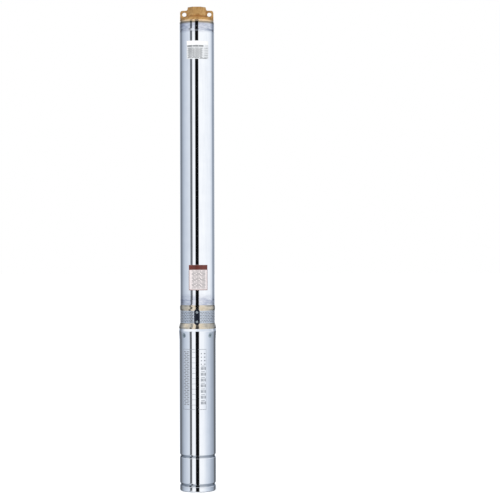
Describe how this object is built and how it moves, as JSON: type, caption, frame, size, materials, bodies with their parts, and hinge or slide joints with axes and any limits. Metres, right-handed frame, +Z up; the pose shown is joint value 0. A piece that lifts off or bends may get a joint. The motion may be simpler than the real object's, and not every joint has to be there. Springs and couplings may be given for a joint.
{
  "type": "borehole submersible pump",
  "caption": "Slim multistage well pump: brass outlet head with lifting lugs, stainless pump shell, screened brass intake and an oil-filled stainless motor.",
  "frame": {"origin": "centre of the motor's flat foot, on the pump's axis", "axes": "+Z up along the shaft to the outlet; the lifting lugs lie along X; the screen clip faces -Y and the cable guard is on +Y"},
  "size_m": [0.0988, 0.1013, 1.276],
  "materials": {
    "polished_stainless": "polished",
    "cast_brass": "as cast, machined on the faces",
    "zinc_steel": "zinc plated",
    "dark_plate": "dark passivated",
    "cast_iron": "painted casting",
    "black_rubber": "moulded",
    "grey_moulding": "moulded",
    "white_moulding": "moulded",
    "lamination_steel": "stacked laminations",
    "copper_wire": "varnished copper",
    "rotor_aluminium": "die cast",
    "shaft_steel": "ground",
    "bearing_steel": "ground and polished",
    "seal_ceramic": "lapped",
    "seal_carbon": "lapped"
  },
  "bodies": {
    "housing": {"motor_shell": "polished_stainless", "shell_screws": "zinc_steel", "bottom_cover": "cast_iron", "diaphragm": "black_rubber", "lower_bracket": "cast_iron", "lower_bearing_outer": "bearing_steel", "upper_bearing_outer": "bearing_steel", "stator_core": "lamination_steel", "stator_windings": "copper_wire", "upper_bracket": "cast_iron", "motor_o_rings": "black_rubber", "preload_spring": "shaft_steel", "seal_seat": "seal_ceramic", "lip_seal": "black_rubber", "gland_rubber": "black_rubber", "gland_nut": "cast_brass", "oil_plug": "zinc_steel", "suction_bracket": "cast_brass", "flange_studs": "zinc_steel", "flange_washers": "zinc_steel", "flange_nuts": "zinc_steel", "intake_screen": "polished_stainless", "screen_clip": "dark_plate", "clip_screws": "zinc_steel", "pump_shell": "polished_stainless", "stage_casings": "polished_stainless", "diffusers": "grey_moulding", "bearing_bush": "black_rubber", "bearing_spider": "grey_moulding", "valve_seat": "cast_brass", "valve_guide": "cast_brass", "outlet_head": "cast_brass", "cable_guard": "polished_stainless", "guard_screws": "zinc_steel"},
    "shaft_line": {"motor_shaft": "shaft_steel", "shaft_circlip": "shaft_steel", "rotor_core": "lamination_steel", "rotor_end_rings": "rotor_aluminium", "lower_bearing_inner": "bearing_steel", "upper_bearing_inner": "bearing_steel", "seal_ring": "seal_carbon", "seal_boot": "black_rubber", "sand_slinger": "black_rubber", "shaft_coupling": "shaft_steel", "pump_shaft": "shaft_steel", "shaft_sleeve": "shaft_steel", "shaft_washer": "zinc_steel", "shaft_screw": "zinc_steel"},
    "impeller_set": {"impellers": "white_moulding"},
    "lower_cage": {"lower_bearing_cage": "cast_brass", "lower_bearing_balls": "bearing_steel"},
    "upper_cage": {"upper_bearing_cage": "cast_brass", "upper_bearing_balls": "bearing_steel"},
    "check_valve": {"valve_poppet": "white_moulding", "valve_seal": "black_rubber"}
  },
  "joints": [
    {"name": "shaft_spin", "type": "hinge", "parent": "housing", "child": "shaft_line", "pos_m": [0, 0, 0.0835], "axis": [0, 0, 1], "continuous": true},
    {"name": "impeller_float", "type": "slide", "parent": "shaft_line", "child": "impeller_set", "axis": [0, 0, 1], "range_m": [0, 0.0008]},
    {"name": "lower_cage_turn", "type": "hinge", "parent": "housing", "child": "lower_cage", "pos_m": [0, 0, 0.0835], "axis": [0, 0, 1], "continuous": true},
    {"name": "upper_cage_turn", "type": "hinge", "parent": "housing", "child": "upper_cage", "pos_m": [0, 0, 0.387], "axis": [0, 0, 1], "continuous": true},
    {"name": "valve_lift", "type": "slide", "parent": "housing", "child": "check_valve", "axis": [0, 0, 1], "range_m": [0, 0.01]}
  ],
  "couplings": [
    {"joint": "lower_cage_turn", "follows": "shaft_spin", "ratio": 0.3969},
    {"joint": "upper_cage_turn", "follows": "shaft_spin", "ratio": 0.3815}
  ]
}
